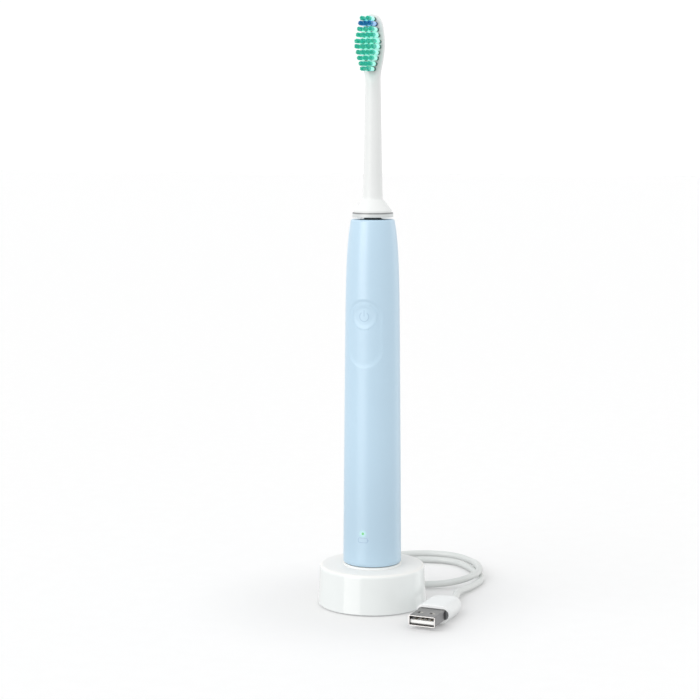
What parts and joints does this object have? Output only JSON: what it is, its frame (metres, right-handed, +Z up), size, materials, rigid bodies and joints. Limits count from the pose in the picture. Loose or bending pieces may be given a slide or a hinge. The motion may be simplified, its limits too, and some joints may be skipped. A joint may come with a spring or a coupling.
{
  "type": "electric toothbrush on charger",
  "caption": "Slim electric toothbrush with oval bristle head, standing on a round induction charger with a short plug-in cable.",
  "frame": {"origin": "middle of the charger's foot, on the surface it stands on", "axes": "+Z up along the toothbrush; the bristles and the power button face -Y"},
  "size_m": [0.0726, 0.1306, 0.2658],
  "materials": {
    "charger_white": "glossy moulded",
    "foot_rubber": "matt",
    "board_green": "solder resist",
    "component_black": "moulded",
    "bobbin_plastic": "moulded",
    "copper_wire": "enamelled wire",
    "ferrite": "sintered",
    "cable_white": "satin",
    "plug_white": "satin moulded",
    "plug_steel": "plated sheet",
    "insulator_white": "moulded",
    "contact_gold": "gold plated",
    "handle_blue": "satin moulded",
    "grip_blue": "soft satin",
    "seal_rubber": "matt",
    "battery_can": "sleeved can",
    "nickel_strip": "strip",
    "chassis_plastic": "moulded",
    "lamp_green": "lit",
    "lens_clear": "clear",
    "core_iron": "laminated",
    "bearing_plastic": "moulded",
    "shaft_steel": "ground",
    "magnet_nickel": "nickel plated",
    "head_white": "satin moulded",
    "ring_grey": "translucent",
    "bristle_teal": "nylon filaments",
    "bristle_blue": "nylon filaments"
  },
  "bodies": {
    "charger": {"charger_housing": "charger_white", "charger_base_plate": "charger_white", "charger_foot_ring": "foot_rubber", "charger_circuit_board": "board_green", "charger_components": "component_black", "charger_coil_bobbin": "bobbin_plastic", "charger_primary_coil": "copper_wire", "charger_ferrite_core": "ferrite", "cable_strain_relief": "cable_white", "usb_cable": "cable_white", "usb_plug_overmold": "plug_white", "usb_plug_collar": "plug_steel", "usb_plug_shell": "plug_steel", "usb_plug_tongue": "insulator_white", "usb_plug_contacts": "contact_gold"},
    "handle": {"handle_housing": "handle_blue", "thumb_grip": "grip_blue", "handle_end_cap": "handle_blue", "end_cap_seal": "seal_rubber", "receiver_coil_bobbin": "bobbin_plastic", "receiver_coil": "copper_wire", "battery": "battery_can", "battery_terminals": "nickel_strip", "battery_holder": "chassis_plastic", "circuit_board": "board_green", "board_components": "component_black", "tact_switch_body": "component_black", "charge_led": "lamp_green", "light_guide": "lens_clear", "drive_chassis": "chassis_plastic", "stator_core": "core_iron", "drive_coil_bobbin": "bobbin_plastic", "drive_coil": "copper_wire", "rear_bearing": "bearing_plastic", "front_bearing": "bearing_plastic", "shaft_seal": "seal_rubber"},
    "button": {"power_button": "grip_blue"},
    "plunger": {"switch_plunger": "component_black"},
    "drive_shaft": {"drive_shaft": "shaft_steel", "rotor_yoke": "core_iron", "rotor_magnets": "magnet_nickel", "return_spring": "shaft_steel"},
    "brush_head": {"brush_head_body": "head_white", "head_id_ring": "ring_grey", "shaft_sleeve": "chassis_plastic", "tuft_row_01": "bristle_teal", "tuft_row_02": "bristle_blue", "tuft_row_03": "bristle_teal", "tuft_row_04": "bristle_teal", "tuft_row_05": "bristle_teal", "tuft_row_06": "bristle_teal", "tuft_row_07": "bristle_teal", "tuft_row_08": "bristle_teal", "tuft_row_09": "bristle_teal", "tuft_row_10": "bristle_teal"}
  },
  "joints": [
    {"name": "handle_lift", "type": "slide", "parent": "charger", "child": "handle", "axis": [0, 0, 1], "range_m": [0, 0.04]},
    {"name": "drive_sweep", "type": "hinge", "parent": "handle", "child": "drive_shaft", "pos_m": [0, 0, 0.14], "axis": [0, 0, 1], "range_deg": [-5, 5], "stiffness_Nm_per_rad": 0.05},
    {"name": "head_pull_off", "type": "slide", "parent": "drive_shaft", "child": "brush_head", "axis": [0, 0, 1], "range_m": [0, 0.03]},
    {"name": "button_press", "type": "slide", "parent": "handle", "child": "button", "axis": [0, 1, 0], "range_m": [0, 0.0005], "stiffness_N_per_m": 2000},
    {"name": "plunger_press", "type": "slide", "parent": "handle", "child": "plunger", "axis": [0, 1, 0], "range_m": [0, 0.0005]}
  ],
  "couplings": [
    {"joint": "plunger_press", "follows": "button_press", "ratio": 1}
  ]
}
